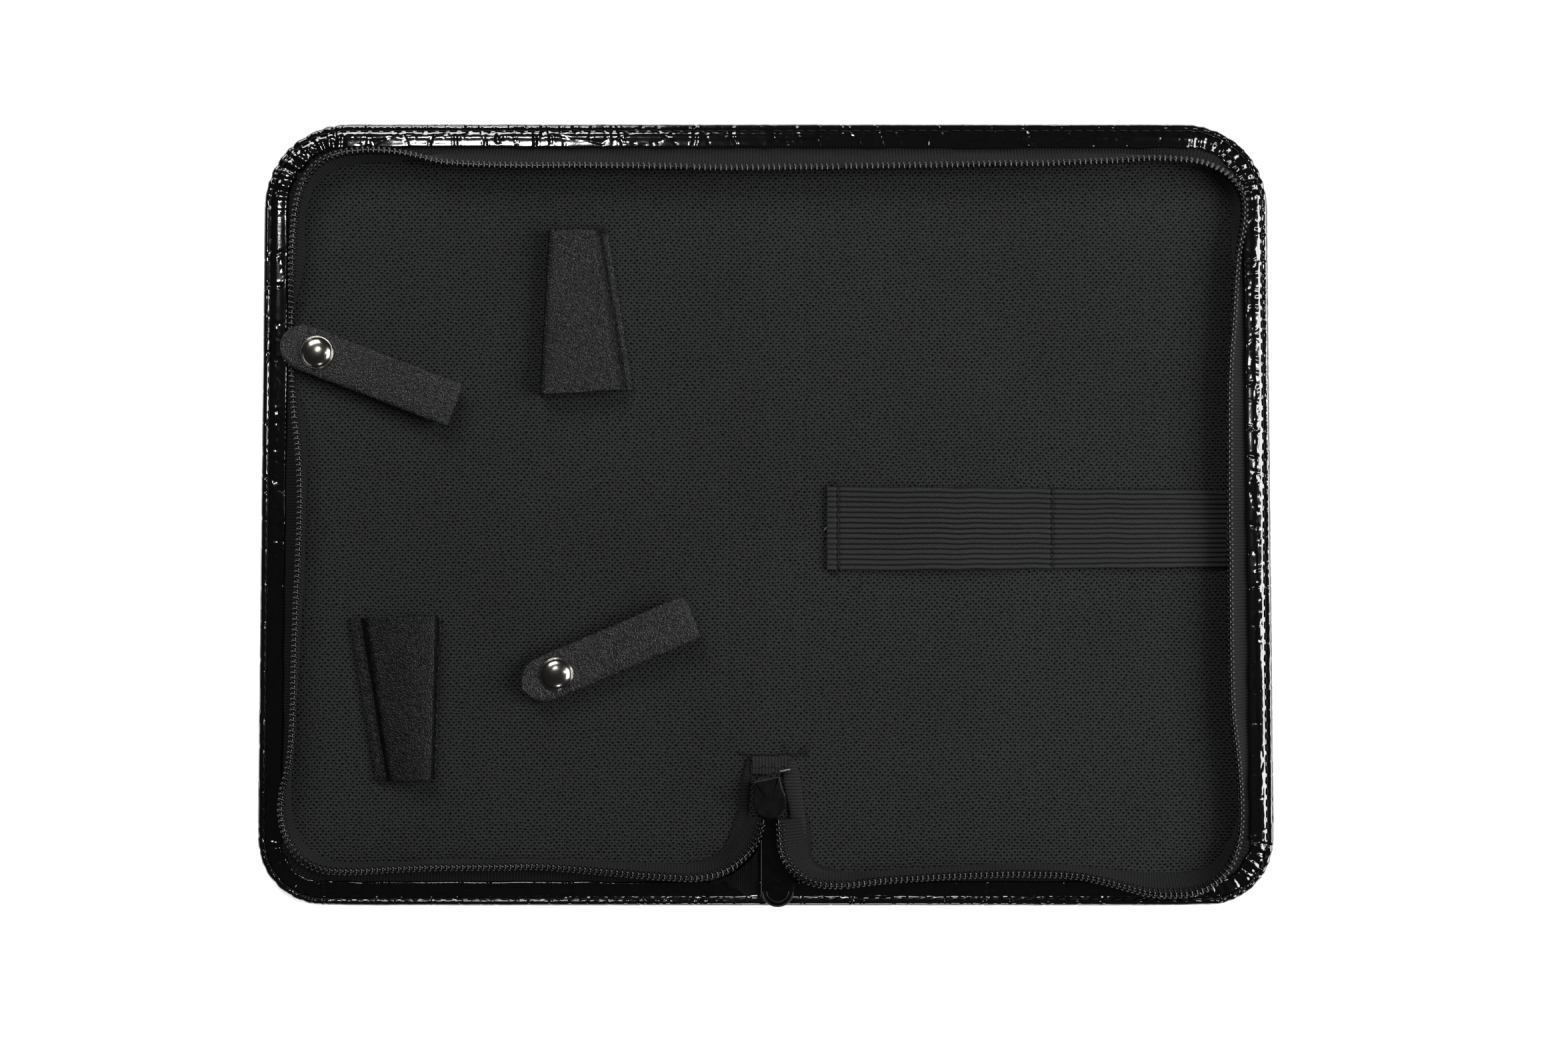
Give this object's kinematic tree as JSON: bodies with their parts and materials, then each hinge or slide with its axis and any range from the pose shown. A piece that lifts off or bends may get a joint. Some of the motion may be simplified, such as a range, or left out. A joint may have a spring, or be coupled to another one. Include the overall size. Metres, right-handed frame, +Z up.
{
  "type": "shears case",
  "caption": "Zipped clamshell case for shears, lying open flat, with tip pockets, snap straps and an elastic band inside.",
  "frame": {"origin": "centre of the open case's outline, on the face it rests on", "axes": "+Z up out of the lining, +X from the strap half to the elastic half, +Y from the zip slider towards the continuous zip end"},
  "size_m": [0.3204, 0.2464, 0.0124],
  "materials": {
    "croc_patent": "black glossy patent leather with an embossed reptile pattern",
    "lining_fabric": "dark grey plain-weave lining cloth",
    "board": "grey-brown stiffening board",
    "padding": "thin felt padding",
    "zip_tape": "black woven zip tape",
    "zip_coil": "black nylon coil",
    "strap_leather": "black pebbled leather",
    "snap_metal": "bright nickel",
    "rivet": "plain brass snap parts",
    "slider_lacquer": "black lacquered die-cast metal",
    "elastic": "black ribbed elastic",
    "thread": "black sewing thread"
  },
  "bodies": {
    "left_half": {"left_cover": "croc_patent", "left_board": "board", "left_lining": "lining_fabric", "left_zip_tape": "zip_tape", "left_zip_coil": "zip_coil", "tip_pocket_upper": "strap_leather", "tip_pocket_lower": "strap_leather", "snap_post_1": "rivet", "snap_post_2": "rivet", "snap_stud_1": "rivet", "snap_stud_2": "rivet"},
    "spine": {"spine_cover": "croc_patent", "spine_hems": "croc_patent", "spine_padding": "padding", "spine_lining": "lining_fabric", "spine_zip_tape": "zip_tape", "spine_zip_coil": "zip_coil", "gusset_tapes": "zip_tape", "gusset_coils": "zip_coil", "gusset_patch": "lining_fabric", "tape_end_tab": "zip_tape", "bar_tack": "thread"},
    "right_half": {"right_cover": "croc_patent", "right_board": "board", "right_lining": "lining_fabric", "right_zip_tape": "zip_tape", "right_zip_coil": "zip_coil", "elastic_band": "elastic"},
    "strap_1": {"strap_1_base": "strap_leather"},
    "strap_1_flap": {"strap_1_flap_leather": "strap_leather", "snap_socket_1": "rivet", "snap_cap_1": "snap_metal"},
    "strap_2": {"strap_2_base": "strap_leather"},
    "strap_2_flap": {"strap_2_flap_leather": "strap_leather", "snap_socket_2": "rivet", "snap_cap_2": "snap_metal"},
    "slider": {"slider_body": "slider_lacquer", "slider_bail": "slider_lacquer"},
    "pull": {"pull_tab": "slider_lacquer"}
  },
  "joints": [
    {"name": "left_fold", "type": "hinge", "parent": "left_half", "child": "spine", "pos_m": [-0.012, 0, 0.0005], "axis": [0, -1, 0], "range_deg": [0, 90], "deforming": ["spine_lining", "spine_hems", "spine_zip_tape", "spine_zip_coil", "gusset_tapes", "gusset_coils", "gusset_patch", "bar_tack"]},
    {"name": "right_fold", "type": "hinge", "parent": "spine", "child": "right_half", "pos_m": [0.012, 0, 0.0005], "axis": [0, -1, 0], "range_deg": [0, 90], "deforming": ["spine_lining", "spine_hems", "spine_zip_tape", "spine_zip_coil", "gusset_tapes", "gusset_coils", "gusset_patch", "bar_tack"]},
    {"name": "strap_1_swivel", "type": "hinge", "parent": "left_half", "child": "strap_1", "pos_m": [-0.1405, 0.0508, 0.0045], "axis": [0, 0, 1], "range_deg": [-12, 12]},
    {"name": "strap_1_open", "type": "hinge", "parent": "strap_1", "child": "strap_1_flap", "pos_m": [-0.09737, 0.03424, 0.00834], "axis": [-0.3584, -0.9336, 0], "range_deg": [-165, 0]},
    {"name": "strap_2_swivel", "type": "hinge", "parent": "left_half", "child": "strap_2", "pos_m": [-0.0655, -0.0499, 0.0045], "axis": [0, 0, 1], "range_deg": [-35, 35]},
    {"name": "strap_2_open", "type": "hinge", "parent": "strap_2", "child": "strap_2_flap", "pos_m": [-0.02297, -0.03185, 0.00834], "axis": [0.3907, -0.9205, 0], "range_deg": [-165, 0]},
    {"name": "slider_slide", "type": "slide", "parent": "spine", "child": "slider", "axis": [0, -1, 0], "range_m": [0, 0.0015], "deforming": ["gusset_tapes", "gusset_coils"]},
    {"name": "pull_swing", "type": "hinge", "parent": "slider", "child": "pull", "pos_m": [0.00105, -0.0932, 0.00535], "axis": [-1, 0, 0], "range_deg": [0, 9], "deforming": ["gusset_tapes", "gusset_coils", "gusset_patch"]}
  ],
  "couplings": [
    {"joint": "right_fold", "follows": "left_fold", "ratio": 1}
  ]
}
